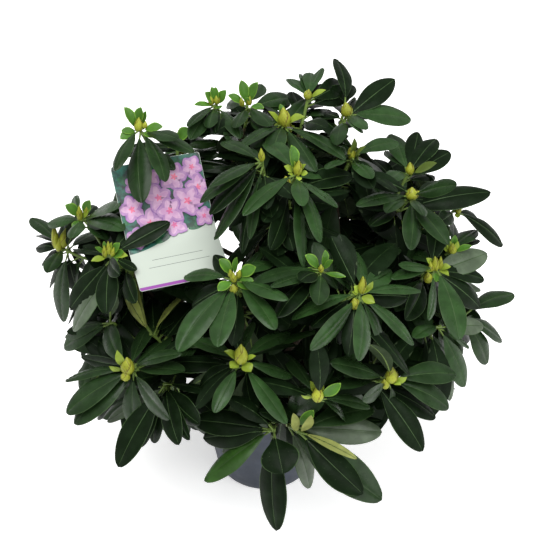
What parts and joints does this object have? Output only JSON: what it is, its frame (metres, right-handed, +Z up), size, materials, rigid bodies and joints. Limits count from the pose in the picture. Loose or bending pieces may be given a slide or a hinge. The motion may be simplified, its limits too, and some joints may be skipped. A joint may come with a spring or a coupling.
{
  "type": "potted rhododendron",
  "caption": "Bushy evergreen rhododendron, domed crown of whorled leathery leaves with yellow-green buds, standing in a round nursery pot with a bent plant label.",
  "frame": {"origin": "centre of the pot's flat underside", "axes": "+Z up along the pot's axis; -Y towards the front, where the label lies on the crown's left shoulder; +X to the right seen from the front"},
  "size_m": [0.6176, 0.5102, 0.591],
  "materials": {
    "pot_plastic": "matt anthracite plastic with a slight blue cast",
    "potting_soil": "rough dark potting compost",
    "bark": "rough grey-brown bark, greener on young shoots",
    "foliage": "leathery dark green leaves with a soft gloss",
    "label_plastic": "smooth thin printed plastic"
  },
  "bodies": {
    "root": {"pot": "pot_plastic", "root_ball": "potting_soil", "main_stem": "bark", "label_card": "label_plastic", "bough_centre_upper": "bark", "bough_lower_middle": "bark", "bough_left_upper": "bark", "bough_right_upper": "bark", "bough_back_middle": "bark", "bough_top_middle": "bark", "bough_top_left": "bark", "bough_top_right": "bark", "bough_upper_left": "bark", "bough_right_middle": "bark", "bough_right_lower": "bark", "bough_left_lower": "bark", "bough_lower_left": "bark", "bough_centre_left": "bark", "bough_centre_right": "bark", "bough_lower_right": "bark", "bough_front_low": "bark", "bough_front_foot": "bark", "bough_back_left": "bark", "bough_back_right": "bark", "bough_back_low_left": "bark", "bough_back_low_middle": "bark", "bough_back_low_right": "bark", "foliage_centre_upper": "foliage", "foliage_lower_middle": "foliage", "foliage_left_upper": "foliage", "foliage_right_upper": "foliage", "foliage_back_middle": "foliage", "foliage_top_middle": "foliage", "foliage_top_left": "foliage", "foliage_top_right": "foliage", "foliage_upper_left": "foliage", "foliage_right_middle": "foliage", "foliage_right_lower": "foliage", "foliage_left_lower": "foliage", "foliage_lower_left": "foliage", "foliage_centre_left": "foliage", "foliage_centre_right": "foliage", "foliage_lower_right": "foliage", "foliage_front_low": "foliage", "foliage_front_foot": "foliage", "foliage_back_left": "foliage", "foliage_back_right": "foliage", "foliage_back_low_left": "foliage", "foliage_back_low_middle": "foliage", "foliage_back_low_right": "foliage"}
  },
  "joints": []
}
